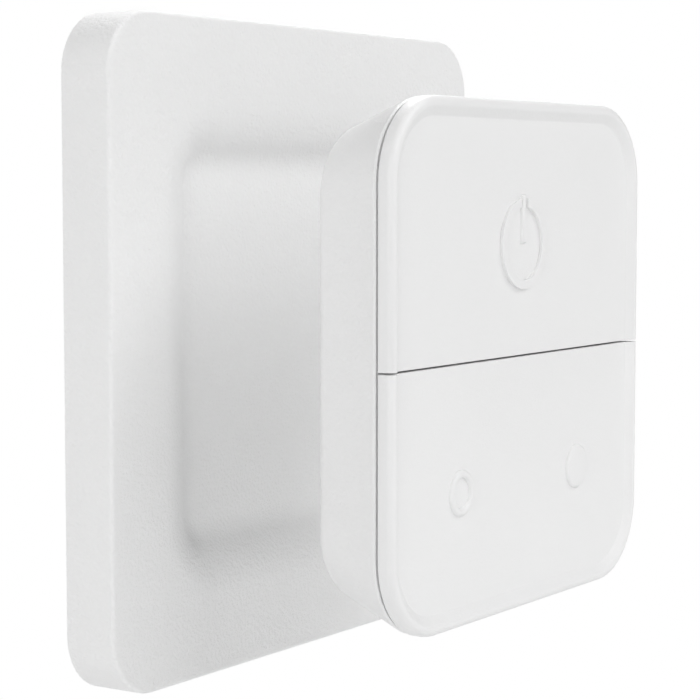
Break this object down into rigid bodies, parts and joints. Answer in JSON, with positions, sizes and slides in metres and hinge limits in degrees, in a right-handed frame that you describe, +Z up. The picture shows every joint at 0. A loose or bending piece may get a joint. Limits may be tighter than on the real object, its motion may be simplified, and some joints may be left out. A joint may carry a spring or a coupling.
{
  "type": "wireless remote wall switch",
  "caption": "Square white wall plate with a dished recess, and a square battery remote with a power key and a rocking dimmer key, shown pulled off its magnetic seat.",
  "frame": {"origin": "centre of the wall plate's back, on the wall face", "axes": "the wall is the plane Y = 0, the front looks along -Y, +Z is up, +X is to the right seen from the front"},
  "size_m": [0.08, 0.0392, 0.08],
  "materials": {
    "white_plate": "white moulded plastic with a fine grain",
    "white_housing": "white moulded plastic, smooth satin",
    "white_key": "white moulded plastic with a very fine texture",
    "grey_moulding": "light grey moulded plastic",
    "zinc_steel": "zinc-plated sheet steel",
    "foam_tape": "white double-sided foam tape",
    "nickel_magnet": "nickel-plated sintered magnet",
    "cell_steel": "stainless coin cell can",
    "spring_steel": "nickel-plated spring strip",
    "board_laminate": "green solder mask on glass-fibre laminate",
    "shield_steel": "tinned shield can",
    "switch_black": "black moulded switch base",
    "stem_plastic": "natural moulded switch stem",
    "screw_steel": "plated steel"
  },
  "bodies": {
    "wall_plate": {"wall_plate": "white_plate", "steel_plate": "zinc_steel", "back_plate": "grey_moulding", "adhesive_pad_upper": "foam_tape", "adhesive_pad_lower": "foam_tape"},
    "remote": {"rear_housing": "white_housing", "magnet_upper_left": "nickel_magnet", "magnet_upper_right": "nickel_magnet", "magnet_lower_left": "nickel_magnet", "magnet_lower_right": "nickel_magnet", "coin_cell": "cell_steel", "positive_clip": "spring_steel", "negative_contact": "spring_steel", "circuit_board": "board_laminate", "radio_module": "shield_steel", "power_switch": "switch_black", "dim_down_switch": "switch_black", "dim_up_switch": "switch_black", "key_frame": "grey_moulding", "frame_screws": "screw_steel", "dimmer_pivot_pin": "screw_steel"},
    "power_key": {"power_key": "white_key", "power_stem": "stem_plastic"},
    "dimmer_key": {"dimmer_key": "white_key", "dim_down_stem": "stem_plastic", "dim_up_stem": "stem_plastic"},
    "battery_cover": {"battery_cover": "white_housing"}
  },
  "joints": [
    {"name": "remote_pull_off", "type": "slide", "parent": "wall_plate", "child": "remote", "axis": [0, -1, 0], "range_m": [-0.0215, 0.03]},
    {"name": "power_key_press", "type": "slide", "parent": "remote", "child": "power_key", "axis": [0, 1, 0], "range_m": [0, 0.0003], "stiffness_N_per_m": 3000, "springref_m": -0.0003},
    {"name": "dimmer_rock", "type": "hinge", "parent": "remote", "child": "dimmer_key", "pos_m": [0, -0.0352, -0.0008], "axis": [0, 0, 1], "range_deg": [-0.5, 0.5], "stiffness_Nm_per_rad": 2},
    {"name": "battery_cover_turn", "type": "hinge", "parent": "remote", "child": "battery_cover", "pos_m": [0, -0.0265, -0.0008], "axis": [0, 1, 0], "range_deg": [0, 38]}
  ]
}
